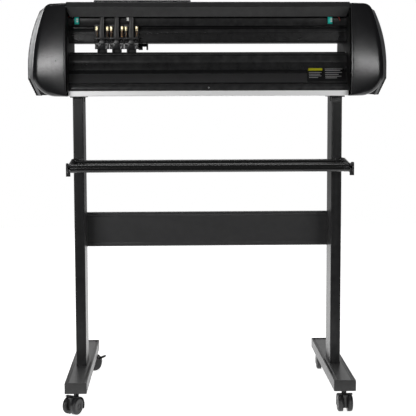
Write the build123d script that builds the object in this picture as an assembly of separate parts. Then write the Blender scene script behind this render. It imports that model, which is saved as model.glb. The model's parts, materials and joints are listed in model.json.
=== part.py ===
"""A floor-standing vinyl cutter: a wheeled stand, a media-roll holder and a wide cutting head.

Millimetres, +Z up. X runs along the machine, -Y is the side that the media comes in from and
+Y is the operator's side. The origin is on the floor, under the middle of the machine's box.
"""

import os
from math import cos, radians, sin

from build123d import *

os.makedirs("parts", exist_ok=True)

# Stand
STAND_HALF = 349.5  # centre of each upright and foot, from the middle
FOOT_WIDTH = 57.0
FOOT_BOTTOM = 54.0
FOOT_TOP = 80.0
FOOT_FRONT = -233.0
FOOT_BACK = 260.0
FOOT_WALL = 2.2
FOOT_LIP = 2.0
FOOT_CAP = 4.0
UPRIGHT_X = 28.0
UPRIGHT_Y = 90.0
UPRIGHT_TOP = 815.0
UPRIGHT_WALL = 2.0
CROSSBAR_LOW = 399.5
CROSSBAR_HIGH = 495.5
CROSSBAR_FACE = 32.0
CROSSBAR_DEPTH = 11.0
HEAD_BOTTOM = 819.0

# Media-roll holder
ARM_THICK = 4.0
ARM_TIP = -260.0
ARM_LOW = 620.0
ARM_HIGH = 653.0
ROLLER_Z = 639.0
ROLLER_Y = {"front": -238.0, "rear": -89.0}
ROLLER_RADIUS = 11.0
ROLLER_HALF = 355.5
ROLLER_PIN = 4.0

# Casters: the trail points from the stem to the axle, in degrees from +X
CASTERS = {
    "front_left": (-STAND_HALF, -213.0, 240.0, False),
    "front_right": (STAND_HALF, -213.0, 270.0, False),
    "back_left": (-STAND_HALF, 225.0, 0.0, True),
    "back_right": (STAND_HALF, 225.0, 270.0, True),
}
WHEEL_RADIUS = 22.5
CASTER_TRAIL = 16.0
HOOD_RADIUS = 25.0
HOOD_HALF = 19.5
WEB_HALF = 6.0
AXLE_RADIUS = 3.0
STEM_RADIUS = 5.5
RUN_CLEAR = 0.05  # radial clearance of a running fit
GAP = 0.35  # clearance between bodies that pass each other

# Cutting head
PLATE_OUT = 370.5  # outer face of the side plates
PLATE_THICK = 3.0
PLATE_IN = PLATE_OUT - PLATE_THICK
PAST_PLATES = (-PLATE_IN - 1, PLATE_IN + 1)
CAP_TOP = 1061.0
CAP_FRONT = -155.0
CAP_BACK = 95.0
CAP_MID_Z = 898.0
CAP_SIDE = 459.0
CAP_WALL = 3.0
CAP_BOW_Y = 604.0  # radius of the caps' upright bow, seen from the side
CAP_BOW_X = 480.0  # radius of the caps' outer edge, seen from the front
CAP_CORNER = 60.0
CAP_CORNER_FULL = 0.5
CAP_SHOULDER = 15.0
PANEL_OUT = 20.0  # how far the side panels stand out from the caps
PANEL_THICK = 2.5
PANEL_BOW = 315.0  # radius of the side panels' outer edge, seen from the front
CHAMFER_TOP = 865.0  # the panels' lower corners are cut off below this height
CHAMFER_RUN = 21.0
GRIP_Y = (-104.0, 10.0)
BASE_TOP = 833.0
BASE_REAR = -127.0
BASE_FRONT = 92.0
MEDIA_Z = 935.0  # top of the platen
CREST_RADIUS = 26.0
CREST_Y = -67.0
CREST_TILT = 30.0  # the grit roller stands out of the crest in this direction
GRIT_RADIUS = 8.0
GRIT_PROUD = 0.4
BEAM_REAR = -83.0
BEAM_FRONT = 8.0
BEAM_LOW = 959.0
BEAM_HIGH = 1025.0
GROOVE_LOW = 996.0
GROOVE_HIGH = 1004.0
GROOVE_DEPTH = 5.0
COVER_TOP = 1064.5
COVER_THICK = 2.5

# Controls and mains inlet
PANEL_X = (-300.0, -46.0)
KEYPAD_Y = (-18.0, 62.0)
INLET_Y = (-64.0, -16.0)
INLET_Z = (868.0, 896.0)

# Feed drive
GRIT_SEGMENTS = 9
MOTOR_SIZE = 42.0
MOTOR_SHAFT = 2.5
FEED_WHEEL = 16.0  # radii of the feed drive's two timing wheels
FEED_PINION = 7.0
FEED_MOTOR = (-26.0, 879.0)

# Pinch units
PINCH_X = {"1": -279.5, "2": -241.0, "3": -202.5}
PINCH_RADIUS = 7.0
PINCH_GAP = 0.35
PINCH_HALF = 18.9
PINCH_DEPTH = 19.0  # how far a bracket stands out from the beam
SPRING_X = 14.0
SPRING_LOW = 973.3
SPRING_HIGH = 991.0
LUG_LOW = 960.0
FORK_TOP = 973.0
STEM_TOP = 1028.0

# Carriage and belt
CARRIAGE_X = -175.0
CARRIAGE_HALF = 28.0
RAIL_LOW = 966.0
RAIL_HIGH = 981.0
RAIL_FRONT = 19.0
BELT_Z = 998.0
BELT_RADIUS = 8.0
BELT_THICK = 1.5
BELT_Y = (13.0, 19.0)
PULLEY_X = 400.0
IDLER_X = -392.0
BLADE_X = 3.45  # from the middle of the carriage
BLADE_Y = 58.0


def block(x, y, z):
    """A box from its lowest and highest x, y and z."""
    centre = ((x[0] + x[1]) / 2, (y[0] + y[1]) / 2, (z[0] + z[1]) / 2)
    return Pos(*centre) * Box(x[1] - x[0], y[1] - y[0], z[1] - z[0])


def rod_x(x, y, z, radius):
    turned = Rot(0, 90, 0) * Cylinder(radius, x[1] - x[0])
    return Pos((x[0] + x[1]) / 2, y, z) * turned


def rod_y(x, y, z, radius):
    turned = Rot(90, 0, 0) * Cylinder(radius, y[1] - y[0])
    return Pos(x, (y[0] + y[1]) / 2, z) * turned


def rod_z(x, y, z, radius):
    return Pos(x, y, (z[0] + z[1]) / 2) * Cylinder(radius, z[1] - z[0])


def prism_x(points, x, radii=0):
    """A (y, z) outline, with rounded corners, drawn out along x."""
    line = FilletPolyline(*[(x[0], p[0], p[1]) for p in points], radius=radii, close=True)
    return extrude(make_face(line), x[1] - x[0], dir=(1, 0, 0))


def prism_y(points, y, radii=0):
    """An (x, z) outline, with rounded corners, drawn out along y."""
    line = FilletPolyline(*[(p[0], y[0], p[1]) for p in points], radius=radii, close=True)
    return extrude(make_face(line), y[1] - y[0], dir=(0, 1, 0))


def other_side(shape):
    """The shape's mirror image on the other side of the machine."""
    return mirror(shape, about=Plane.YZ)


def both(shape):
    return [shape, other_side(shape)]


def write(name, *shapes):
    """One node: every solid of the shapes, kept apart."""
    solids = [solid for shape in shapes for solid in shape.solids()]
    whole = Compound(children=solids) if len(solids) > 1 else solids[0]
    export_step(whole, f"parts/{name}.step")


# ---------------------------------------------------------------- stand


def foot_outline(inset):
    half = FOOT_WIDTH / 2 - inset
    return [
        (-half, FOOT_BOTTOM + inset),
        (half, FOOT_BOTTOM + inset),
        (half, FOOT_TOP - inset),
        (-half, FOOT_TOP - inset),
    ]


def foot():
    """A hollow extrusion with a raised lip along each side and two shallow grooves."""
    length = (FOOT_FRONT + FOOT_CAP, FOOT_BACK - FOOT_CAP)
    tube = prism_y(foot_outline(0), length, 1.0) - prism_y(foot_outline(FOOT_WALL), length, 1.0)
    lip_width = 3.0
    for side in (-1, 1):
        edge = side * FOOT_WIDTH / 2
        inner = edge - side * lip_width
        tube += block(sorted((edge, inner)), length, (FOOT_TOP - 1, FOOT_TOP + FOOT_LIP))
        groove = side * (FOOT_WIDTH / 2 - 9)
        tube -= block((groove - 1.5, groove + 1.5), length, (FOOT_TOP - 1, FOOT_TOP + 1))
    stem_hole = STEM_RADIUS + RUN_CLEAR
    for _, y, _, _ in list(CASTERS.values())[::2]:
        tube -= rod_z(0, y, (FOOT_BOTTOM - 1, FOOT_BOTTOM + FOOT_WALL + 1), stem_hole)
    for y in (-22.0, 22.0):
        tube -= rod_z(0, y, (FOOT_BOTTOM - 1, FOOT_TOP + 1), 3.2)
    return Pos(-STAND_HALF, 0, 0) * tube


def foot_end_cap(end, into):
    """A moulded cap: a flat face and a plug that sits inside the extrusion."""
    face = prism_y(
        [
            (-FOOT_WIDTH / 2, FOOT_BOTTOM),
            (FOOT_WIDTH / 2, FOOT_BOTTOM),
            (FOOT_WIDTH / 2, FOOT_TOP + FOOT_LIP),
            (-FOOT_WIDTH / 2, FOOT_TOP + FOOT_LIP),
        ],
        sorted((end, end + into * FOOT_CAP)),
        1.5,
    )
    plug = prism_y(foot_outline(FOOT_WALL), sorted((end + into * FOOT_CAP, end + into * 14)), 1.0)
    return Pos(-STAND_HALF, 0, 0) * (face + plug)


def upright():
    """A rectangular tube with a ribbed plug in its head."""
    half_x = UPRIGHT_X / 2
    half_y = UPRIGHT_Y / 2
    tall = UPRIGHT_TOP - FOOT_TOP
    tube = Pos(0, 0, FOOT_TOP) * extrude(RectangleRounded(UPRIGHT_X, UPRIGHT_Y, 3), tall)
    inner = RectangleRounded(UPRIGHT_X - 2 * UPRIGHT_WALL, UPRIGHT_Y - 2 * UPRIGHT_WALL, 1.5)
    tube -= Pos(0, 0, FOOT_TOP - 1) * extrude(inner, tall + 2)
    for z in (FOOT_TOP, UPRIGHT_TOP - 6):
        tube += block((-half_x + 1, half_x - 1), (-half_y + 1, half_y - 1), (z, z + 6))
    rib_pitch = 3.0
    ribbed = (UPRIGHT_TOP - 16, UPRIGHT_TOP)
    for index in range(-3, 4):
        x = index * rib_pitch
        tube -= block((x - 0.5, x + 0.5), (-half_y - 1, -half_y + 0.6), ribbed)
    for y in (-22.0, 22.0):
        tube -= rod_z(0, y, (FOOT_TOP - 1, FOOT_TOP + 7), 3.2)
        tube -= rod_z(0, y, (UPRIGHT_TOP - 7, UPRIGHT_TOP + 1), 3.2)
    return Pos(-STAND_HALF, 0, 0) * tube


def crossbar():
    """A folded channel between the uprights, open to the operator's side."""
    half = STAND_HALF - UPRIGHT_X / 2
    back = CROSSBAR_FACE + CROSSBAR_DEPTH
    wall = 2.0
    outside = [
        (CROSSBAR_FACE, CROSSBAR_LOW),
        (back, CROSSBAR_LOW),
        (back, CROSSBAR_HIGH),
        (CROSSBAR_FACE, CROSSBAR_HIGH),
    ]
    inside = [
        (CROSSBAR_FACE + wall, CROSSBAR_LOW + wall),
        (back + 5, CROSSBAR_LOW + wall),
        (back + 5, CROSSBAR_HIGH - wall),
        (CROSSBAR_FACE + wall, CROSSBAR_HIGH - wall),
    ]
    bar = prism_x(outside, (-half, half), [4, 0.5, 0.5, 4])
    bar -= prism_x(inside, (-half + wall, half - wall), [2.5, 0, 0, 2.5])
    for z in (CROSSBAR_LOW + 10, CROSSBAR_HIGH - 12):
        bar -= block((-half - 1, half + 1), (CROSSBAR_FACE - 1, CROSSBAR_FACE + 0.5), (z, z + 1))
    return bar


def head_mount_plate():
    """The plate on top of each upright that carries the head, with a hanging tab."""
    plate = block((-20, 20), (-52, 52), (UPRIGHT_TOP, HEAD_BOTTOM))
    plate += block((17, 20), (-50, -36), (UPRIGHT_TOP - 12, UPRIGHT_TOP + 1))
    for y in (-22.0, 22.0):
        plate -= rod_z(0, y, (UPRIGHT_TOP - 1, HEAD_BOTTOM + 1), 3.2)
    return Pos(-STAND_HALF, 0, 0) * plate


def stand_screws():
    """The screws under the feet and in the heads of the uprights."""
    screws = []
    for y in (-22.0, 22.0):
        low = FOOT_BOTTOM
        under = rod_z(-STAND_HALF, y, (low, FOOT_TOP + 6), 2.9)
        under += rod_z(-STAND_HALF, y, (low - 3.4, low), 5.4)
        screws += both(under - rod_z(-STAND_HALF, y, (low - 4, low - 1.6), 1.8))
        top = rod_z(-STAND_HALF, y, (UPRIGHT_TOP - 8, HEAD_BOTTOM), 2.9)
        screws += both(top)
    return screws


# ---------------------------------------------------------------- media-roll holder


def roll_arm():
    """A flat arm with a bent flange that screws to the front of the upright, and a small one at its tip."""
    front = -UPRIGHT_Y / 2
    outer = -STAND_HALF - UPRIGHT_X / 2
    outline = [
        (front - ARM_THICK, ARM_LOW + 8),
        (front - ARM_THICK, ARM_HIGH - 2),
        (-100, ARM_HIGH),
        (-200, ARM_HIGH - 8),
        (ARM_TIP + 14, ARM_HIGH),
        (ARM_TIP, ARM_HIGH),
        (ARM_TIP, ARM_LOW),
        (-200, ARM_LOW + 4),
    ]
    arm = prism_x(outline, (outer, outer + ARM_THICK), [0, 2, 6, 6, 4, 6, 6, 6])
    arm += block((outer, outer + UPRIGHT_X), (front - ARM_THICK, front), (ARM_LOW + 8, ARM_HIGH - 2))
    arm += block((outer, outer + 11), (ARM_TIP, ARM_TIP + 3), (ARM_LOW, ARM_LOW + 17))
    for y in ROLLER_Y.values():
        arm -= rod_x((outer - 1, outer + ARM_THICK + 1), y, ROLLER_Z, ROLLER_PIN + RUN_CLEAR)
    for z in (ARM_LOW + 14, ARM_HIGH - 8):
        arm -= rod_y(-STAND_HALF + 3, (front - ARM_THICK - 1, front + 1), z, 1.8)
    return arm


def arm_screws():
    """The screws that hold the arms to the uprights."""
    front = -UPRIGHT_Y / 2 - ARM_THICK
    screws = []
    for z in (ARM_LOW + 14, ARM_HIGH - 8):
        screw = rod_y(-STAND_HALF + 3, (front - 2.4, front), z, 3.4)
        screw += rod_y(-STAND_HALF + 3, (front, front + ARM_THICK), z, 1.8)
        screws += both(screw)
    return screws


def media_roller(y):
    """A tube closed by end plugs whose pins turn in the arms."""
    tube = rod_x((-ROLLER_HALF, ROLLER_HALF), y, ROLLER_Z, ROLLER_RADIUS)
    tube -= rod_x((-ROLLER_HALF + 20, ROLLER_HALF - 20), y, ROLLER_Z, ROLLER_RADIUS - 1.5)
    reach = STAND_HALF + UPRIGHT_X / 2
    return tube + rod_x((-reach, reach), y, ROLLER_Z, ROLLER_PIN) - rod_x(
        (-ROLLER_HALF + 20, ROLLER_HALF - 20), y, ROLLER_Z, ROLLER_PIN + 1
    )


# ---------------------------------------------------------------- casters


def placed(shape, caster):
    x, y, angle, _ = CASTERS[caster]
    return Pos(x, y, 0) * Rot(0, 0, angle) * shape


def caster_fork(braked):
    """The swivelling hood, its web between the wheels, and the stem."""
    axle = CASTER_TRAIL
    z = WHEEL_RADIUS
    keep = block((-40, axle + 6), (-30, 30), (z - 11, 60))
    hood = rod_y(axle, (-HOOD_HALF, HOOD_HALF), z, HOOD_RADIUS)
    hood -= rod_y(axle, (-HOOD_HALF - 1, HOOD_HALF + 1), z, WHEEL_RADIUS + 0.7)
    web_keep = block((-40, axle + 12), (-30, 30), (z - 11, 60))
    web = rod_y(axle, (-WEB_HALF, WEB_HALF), z, HOOD_RADIUS) & web_keep
    web += rod_y(axle, (-WEB_HALF, WEB_HALF), z, 12)
    fork = (hood & keep) + web
    fork += rod_z(0, 0, (z + 8, FOOT_BOTTOM - 1.2), STEM_RADIUS + 1)
    fork += rod_z(0, 0, (z + 8, FOOT_BOTTOM + 16), STEM_RADIUS)
    fork -= rod_y(axle, (-WEB_HALF - 1, WEB_HALF + 1), z, AXLE_RADIUS + RUN_CLEAR)
    for side in (-1, 1):
        clearance = sorted((side * (WEB_HALF + 0.01), side * (HOOD_HALF + 1)))
        fork -= rod_y(axle, clearance, z, WHEEL_RADIUS + 0.7)
    if braked:
        fork -= block((axle + 1, axle + 40), (-3.4, 3.4), (z + 5, 60))
        fork -= rod_y(axle + 8, (-WEB_HALF - 1, WEB_HALF + 1), z + 14, 1.8 + RUN_CLEAR)
    return fork


def caster_wheels():
    """Two dished wheels pressed on one axle."""
    axle = CASTER_TRAIL
    z = WHEEL_RADIUS
    pair = rod_y(axle, (-HOOD_HALF + 1, HOOD_HALF - 1), z, AXLE_RADIUS)
    for side in (-1, 1):
        near = side * (WEB_HALF + GAP)
        far = side * HOOD_HALF
        wheel = rod_y(axle, sorted((near, far)), z, WHEEL_RADIUS)
        rim = wheel.edges().filter_by(GeomType.CIRCLE).sort_by(Axis.Y)
        wheel = fillet([rim[-1] if side > 0 else rim[0]], 5.5)
        wheel -= rod_y(axle, sorted((far - side * 1.5, far + side)), z, 9)
        pair += wheel
    return pair


def caster_brake():
    """The foot lever, hinged on a pin through the fork's web."""
    x = CASTER_TRAIL + 8
    z = WHEEL_RADIUS + 14
    lever = block((x - 3, x + 13), (-3, 3), (z - 2, z + 2.4))
    lever += rod_y(x, (-WEB_HALF, WEB_HALF), z, 1.8)
    pad = [(x + 12.7, z - 2), (x + 26, z + 3.5), (x + 26, z + 6.5), (x + 12.7, z + 2.4)]
    return lever + prism_y(pad, (-9, 9), [0, 1, 1, 0])


# ---------------------------------------------------------------- head: structure


def base_extrusion():
    """A hollow aluminium base whose bare edge shows along the machine."""
    outside = [
        (BASE_REAR, HEAD_BOTTOM),
        (BASE_FRONT, HEAD_BOTTOM),
        (BASE_FRONT, BASE_TOP),
        (BASE_REAR, BASE_TOP),
    ]
    base = prism_x(outside, (-PLATE_IN, PLATE_IN), [2, 2, 1, 1])
    cells = 4
    step = (BASE_FRONT - BASE_REAR) / cells
    for index in range(cells):
        y = BASE_REAR + index * step
        base -= block(PAST_PLATES, (y + 3, y + step - 3), (HEAD_BOTTOM + 3, BASE_TOP - 3))
    return base


def cap_bow(z):
    """How far the caps' front and back bow inwards at a height."""
    return (z - CAP_MID_Z) ** 2 / (2 * CAP_BOW_Y)


def side_outline(x, inset):
    """The bowed outline of the head seen from the side, as a closed face."""
    low = HEAD_BOTTOM + inset
    high = CAP_TOP - inset
    rear = CAP_FRONT + inset
    front = CAP_BACK - inset
    rear_arc = ThreePointArc(
        (x, rear + cap_bow(low), low), (x, rear, CAP_MID_Z), (x, rear + cap_bow(high), high)
    )
    front_arc = ThreePointArc(
        (x, front - cap_bow(high), high), (x, front, CAP_MID_Z), (x, front - cap_bow(low), low)
    )
    top = Line(rear_arc @ 1, front_arc @ 0)
    bottom = Line(front_arc @ 1, rear_arc @ 0)
    return make_face([rear_arc, top, front_arc, bottom])


def front_outline(y, inset, inner_x, hand):
    """The outline of a cap seen from the front: big lower corner, bowed side, small upper corner."""
    low = HEAD_BOTTOM + inset
    high = CAP_TOP - inset
    side = CAP_SIDE - inset
    corner = CAP_CORNER - inset
    shoulder = CAP_SHOULDER - inset
    bow_from = low + corner

    def bowed(z):
        return side - (z - bow_from) ** 2 / (2 * CAP_BOW_X)

    def at(x, z):
        return (hand * x, y, z)

    reach = (corner + CAP_CORNER_FULL) * cos(radians(45))
    corner_mid = (side - corner + reach, low + corner - reach)
    bow_end = high - shoulder
    bow_mid = (bow_from + bow_end) / 2
    top_x = bowed(high) - shoulder
    round_share = 0.44  # how far from the chord towards the sharp corner the rounding reaches
    start = Vector(bowed(bow_end), bow_end)
    end = Vector(top_x, high)
    chord_mid = (start + end) / 2
    shoulder_mid = chord_mid + (Vector(bowed(high), high) - chord_mid) * round_share
    edges = [
        Line(at(inner_x, low), at(side - corner, low)),
        ThreePointArc(at(side - corner, low), at(*corner_mid), at(side, low + corner)),
        ThreePointArc(at(side, bow_from), at(bowed(bow_mid), bow_mid), at(bowed(bow_end), bow_end)),
        ThreePointArc(at(start.X, start.Y), at(shoulder_mid.X, shoulder_mid.Y), at(top_x, high)),
        Line(at(top_x, high), at(inner_x, high)),
        Line(at(inner_x, high), at(inner_x, low)),
    ]
    return make_face(edges)


def cap_solid(inset, inner_x, hand=1):
    """The full block of one end of the head, inside its two outlines: hand is 1 right, -1 left."""
    depth = CAP_BACK - CAP_FRONT + 10
    seen_from_front = extrude(front_outline(CAP_FRONT - 5, inset, inner_x, hand), depth, dir=(0, 1, 0))
    seen_from_side = extrude(side_outline(hand * (inner_x - 5), inset), 200, dir=(hand, 0, 0))
    return seen_from_front & seen_from_side


def end_cap(hand):
    """The black moulded shell on one end, open towards the machine."""
    shell = cap_solid(0, PLATE_OUT, hand) - cap_solid(CAP_WALL, PLATE_OUT - 10, hand)
    window = sorted((hand * (CAP_SIDE - 40), hand * (CAP_SIDE + 20)))
    return shell - block(window, (-80, 15), (HEAD_BOTTOM + 54, 993))


def panel_outline(y, out):
    """The side panel's outline: bowed like the cap's, chamfered below and towards the top."""
    low = HEAD_BOTTOM + 2
    high = CAP_TOP - 6
    shoulder = CAP_TOP - 17
    side = CAP_SIDE + out
    foot = side - CHAMFER_RUN
    inner = 400.0

    def bowed(z):
        return side - (z - CAP_MID_Z) ** 2 / (2 * PANEL_BOW)

    mid = (CAP_MID_Z + shoulder) / 2
    edges = [
        Line((inner, y, low), (foot, y, low)),
        Line((foot, y, low), (side, y, CHAMFER_TOP)),
        Line((side, y, CHAMFER_TOP), (side, y, CAP_MID_Z)),
        ThreePointArc((side, y, CAP_MID_Z), (bowed(mid), y, mid), (bowed(shoulder), y, shoulder)),
        Line((bowed(shoulder), y, shoulder), (bowed(shoulder) - 15, y, high)),
        Line((bowed(shoulder) - 15, y, high), (inner, y, high)),
        Line((inner, y, high), (inner, y, low)),
    ]
    return make_face(edges)


def panel_solid(thin):
    """The bulging block of the side panel, thinner by an even skin."""
    full = PANEL_OUT - thin
    rim = 2.0 - thin
    rear = loft([panel_outline(-108, rim), panel_outline(-66, full)], ruled=True)
    middle = extrude(panel_outline(-66, full), 52, dir=(0, 1, 0))
    front = loft([panel_outline(-14, full), panel_outline(28, rim)], ruled=True)
    return rear + middle + front


def grip_zone(depth):
    """The layer of the panel's lower chamfer that the grip fills."""
    side = CAP_SIDE + PANEL_OUT
    points = [
        (side + 8, CHAMFER_TOP + 1),
        (side + 8, HEAD_BOTTOM),
        (side - CHAMFER_RUN - depth, HEAD_BOTTOM),
        (side - depth, CHAMFER_TOP + 1),
    ]
    return prism_y(points, GRIP_Y)


def side_panel(slotted):
    """The gray ventilated shell that bulges out of the cap's side."""
    shell = panel_solid(0) - panel_solid(PANEL_THICK) - cap_solid(0, PLATE_OUT)
    recess = grip_zone(8)
    shell -= recess
    lining = (grip_zone(8 + PANEL_THICK) & panel_solid(0)) - recess - cap_solid(0, PLATE_OUT)
    shell += lining
    if slotted:
        pitch = 26.0
        for y in (-74.0, -58.0, -22.0, -6.0):
            for index in range(7):
                z = 875 + index * pitch
                shell -= block((420, 520), (y - 2, y + 2), (z, z + 18))
    return shell


def side_grip():
    """A ribbed rubber grip on the lower chamfer."""
    side = CAP_SIDE + PANEL_OUT
    grip = grip_zone(7.6) & panel_solid(0)
    ribs = 7
    low = HEAD_BOTTOM + 2
    for index in range(ribs):
        z = low + 5 + index * 5.6
        x = side - CHAMFER_RUN * (CHAMFER_TOP - z) / (CHAMFER_TOP - low)
        grip -= block((x - 1.2, x + 10), (GRIP_Y[0] - 1, GRIP_Y[1] + 1), (z - 0.8, z + 0.8))
    return grip


def grit_centre():
    reach = CREST_RADIUS + GRIT_PROUD - GRIT_RADIUS
    tilt = radians(CREST_TILT)
    return CREST_Y - reach * sin(tilt), MEDIA_Z - CREST_RADIUS + reach * cos(tilt)


def pinch_centre():
    reach = CREST_RADIUS + GRIT_PROUD + PINCH_GAP + PINCH_RADIUS
    tilt = radians(CREST_TILT)
    return CREST_Y - reach * sin(tilt), MEDIA_Z - CREST_RADIUS + reach * cos(tilt)


def grit_slot():
    y, z = grit_centre()
    return rod_x(PAST_PLATES, y, z, GRIT_RADIUS + 0.6)


def platen():
    """The bed under the beam, with a strip groove under the blade."""
    length = (-PLATE_IN, PLATE_IN)
    outline = [
        (CREST_Y - 9, MEDIA_Z - 1.7),
        (CREST_Y, MEDIA_Z),
        (74, MEDIA_Z),
        (86, MEDIA_Z - 8),
        (90, MEDIA_Z - 20),
        (87, MEDIA_Z - 20),
        (82, MEDIA_Z - 9),
        (72, MEDIA_Z - 5),
        (CREST_Y - 6, MEDIA_Z - 5),
    ]
    bed = prism_x(outline, length, [0, 0, 10, 10, 0, 0, 8, 8, 0])
    for y in (-50.0, 0.0, 50.0):
        bed += block(length, (y - 1.5, y + 1.5), (MEDIA_Z - 20, MEDIA_Z - 4))
    bed -= block(length, (BLADE_Y - 4, BLADE_Y + 4), (MEDIA_Z - 1, MEDIA_Z + 1))
    for y in (-40.0, -20.0, 20.0, 36.0):
        bed -= block(length, (y - 0.6, y + 0.6), (MEDIA_Z - 0.8, MEDIA_Z + 1))
    return bed - grit_slot()


def rear_apron():
    """The black extrusion that guides the media up from the roll to the crest."""
    length = (-PLATE_IN, PLATE_IN)
    crest = rod_x(length, CREST_Y, MEDIA_Z - CREST_RADIUS, CREST_RADIUS)
    crest -= rod_x(PAST_PLATES, CREST_Y, MEDIA_Z - CREST_RADIUS, CREST_RADIUS - 3)
    y, z = grit_centre()
    crest &= block(length, (CREST_Y - CREST_RADIUS - 1, y), (MEDIA_Z - CREST_RADIUS, MEDIA_Z + 1))
    face = CREST_Y - CREST_RADIUS
    skin = [
        (face + 3, MEDIA_Z - CREST_RADIUS),
        (face, MEDIA_Z - CREST_RADIUS),
        (face, 906),
        (face + 1.2, 905),
        (face, 904),
        (face - 3, 888),
        (face - 1.8, 886.5),
        (face - 8, 879),
        (face - 20, 854),
        (face - 17, 852.5),
        (face - 17, 850.5),
        (face - 24, 850),
        (face - 24, BASE_TOP),
        (face - 20, BASE_TOP),
        (face - 20, 847),
        (face - 13.5, 847),
        (face - 13.5, 855),
        (face - 3, 879),
        (face + 3, 903),
    ]
    return (crest + prism_x(skin, length)) - grit_slot()


def front_apron():
    """The operator-side skirt under the bed."""
    skin = [
        (90, MEDIA_Z - 20),
        (92, 893),
        (91, 853),
        (88, BASE_TOP),
        (84, BASE_TOP),
        (87, 853),
        (88, 893),
        (87, MEDIA_Z - 20),
    ]
    return prism_x(skin, (-PLATE_IN, PLATE_IN), [0, 20, 20, 0, 0, 20, 20, 0])


def beam():
    """The wide hollow beam that carries the pinch rail behind and the carriage rail in front."""
    length = (-PLATE_IN, PLATE_IN)
    outline = [
        (BEAM_REAR + 3, BEAM_LOW),
        (BEAM_FRONT, BEAM_LOW),
        (BEAM_FRONT, BEAM_HIGH),
        (BEAM_REAR, BEAM_HIGH),
        (BEAM_REAR, BEAM_LOW + 3),
    ]
    body = prism_x(outline, length, [1, 2, 2, 2, 1])
    inner = [
        (BEAM_REAR + 9, BEAM_LOW + 3),
        (BEAM_FRONT - 4, BEAM_LOW + 3),
        (BEAM_FRONT - 4, BEAM_HIGH - 3),
        (BEAM_REAR + 9, BEAM_HIGH - 3),
    ]
    body -= prism_x(inner, PAST_PLATES, 2)
    body -= block(PAST_PLATES, (BEAM_REAR - 1, BEAM_REAR + GROOVE_DEPTH), (GROOVE_LOW, GROOVE_HIGH))
    for z in (BEAM_LOW + 6, BEAM_LOW + 26):
        body -= block(PAST_PLATES, (BEAM_REAR - 1, BEAM_REAR + 0.5), (z, z + 0.8))
    return body


def guide_rail():
    """The hardened rail that the carriage runs on."""
    waist = 1.5
    outline = [
        (BEAM_FRONT, RAIL_LOW + waist),
        (BEAM_FRONT + 4, RAIL_LOW + waist),
        (BEAM_FRONT + 4, RAIL_LOW),
        (RAIL_FRONT, RAIL_LOW),
        (RAIL_FRONT, RAIL_HIGH),
        (BEAM_FRONT + 4, RAIL_HIGH),
        (BEAM_FRONT + 4, RAIL_HIGH - waist),
        (BEAM_FRONT, RAIL_HIGH - waist),
    ]
    return prism_x(outline, (-PLATE_IN + 2, PLATE_IN - 2))


def side_plate():
    """The right-hand plate that ties the base, bed and beam together."""
    plate = extrude(side_outline(PLATE_IN, 6), PLATE_THICK, dir=(1, 0, 0))
    plate -= block((PLATE_IN - 1, PLATE_OUT + 1), (-200, 200), (700, BASE_TOP)) + cover_block()
    plate -= block((PLATE_IN - 1, PLATE_OUT + 1), (10, 24), (BELT_Z - 14, BELT_Z + 14))
    y, z = grit_centre()
    return plate - rod_x((PLATE_IN - 1, PLATE_OUT + 1), y, z, 11)


def idler_post():
    """A tab and stud on the left plate that carry the idler pulley."""
    tab = block((IDLER_X - 10, -PLATE_IN - 1), (4, 8), (BELT_Z - 12, BELT_Z + 12))
    return tab + rod_y(IDLER_X, (7, 22), BELT_Z, 3)


def cover_block():
    """The top cover's outer shape, filled."""
    outer = [
        (-113, 1026),
        (-133, 1051),
        (-116, COVER_TOP),
        (74, COVER_TOP),
        (86, 1053),
        (82, 1031),
    ]
    return prism_x(outer, (-PLATE_OUT, PLATE_OUT), [0, 1, 4, 8, 5, 0])


def top_cover():
    """The folded cover over the beam, with an undercut visor on the media side."""
    t = COVER_THICK
    inner = [
        (-113 + 3.2, 1024),
        (-133 + 3.4, 1051 - 0.4),
        (-116 + 0.8, COVER_TOP - t),
        (74 - 1, COVER_TOP - t),
        (86 - t, 1053 - 0.6),
        (82 - t, 1027),
    ]
    cover = cover_block() - prism_x(inner, (-400, 400), [0, 0.5, 2, 6, 3, 0])
    visor_end = [(PLATE_OUT + 1, 1050), (PLATE_OUT + 1, 1023), (PLATE_OUT - 10, 1023)]
    slant = prism_y(visor_end, (-140, -100))
    return cover - slant - other_side(slant)


# ---------------------------------------------------------------- head: controls and electrics


def control_panel():
    """The raised housing of the keys and display, with a recess for its overlay."""
    outline = [(-108, COVER_TOP), (74, COVER_TOP), (70, COVER_TOP + 5.5), (-104, COVER_TOP + 5.5)]
    housing = prism_x(outline, PANEL_X, [0, 0, 2.5, 2.5])
    housing = fillet(housing.edges().filter_by(Axis.Y).sort_by(Axis.Z)[-2:], 3)
    return housing - block((PANEL_X[0] + 10, PANEL_X[1] - 10), KEYPAD_Y, (COVER_TOP + 4.5, COVER_TOP + 7))


def keypad():
    """The membrane overlay: domed key areas and a clear display window."""
    sheet = block((PANEL_X[0] + 10, PANEL_X[1] - 10), KEYPAD_Y, (COVER_TOP + 4.5, COVER_TOP + 5.3))
    for column in range(4):
        for row in range(3):
            x = PANEL_X[1] - 30 - column * 26
            y = KEYPAD_Y[0] + 14 + row * 26
            sheet += rod_z(x, y, (COVER_TOP + 5, COVER_TOP + 5.8), 8)
    return sheet


def inlet_window():
    return block((-520, -440), INLET_Y, INLET_Z)


def power_inlet():
    """The mains inlet and its frame, set in the left side panel."""
    face = -(CAP_SIDE + PANEL_OUT - 0.5)
    frame = block((face, face + 18), INLET_Y, INLET_Z)
    frame -= block((face - 1, face + 15), (-60, -36), (873, 891))
    frame -= block((face - 1, face + 15), (-33.2, -18.8), (871.8, 892.2))
    frame -= rod_y(face + 4.5, (-34.7, -17.3), (INLET_Z[0] + INLET_Z[1]) / 2, 1.5 + RUN_CLEAR)
    for y in (-55.0, -41.0):
        frame += block((face + 5.5, face + 16), (y - 1, y + 1), (876, 880))
    frame += block((face + 5.5, face + 16), (-49, -47), (883, 887))
    return frame


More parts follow.
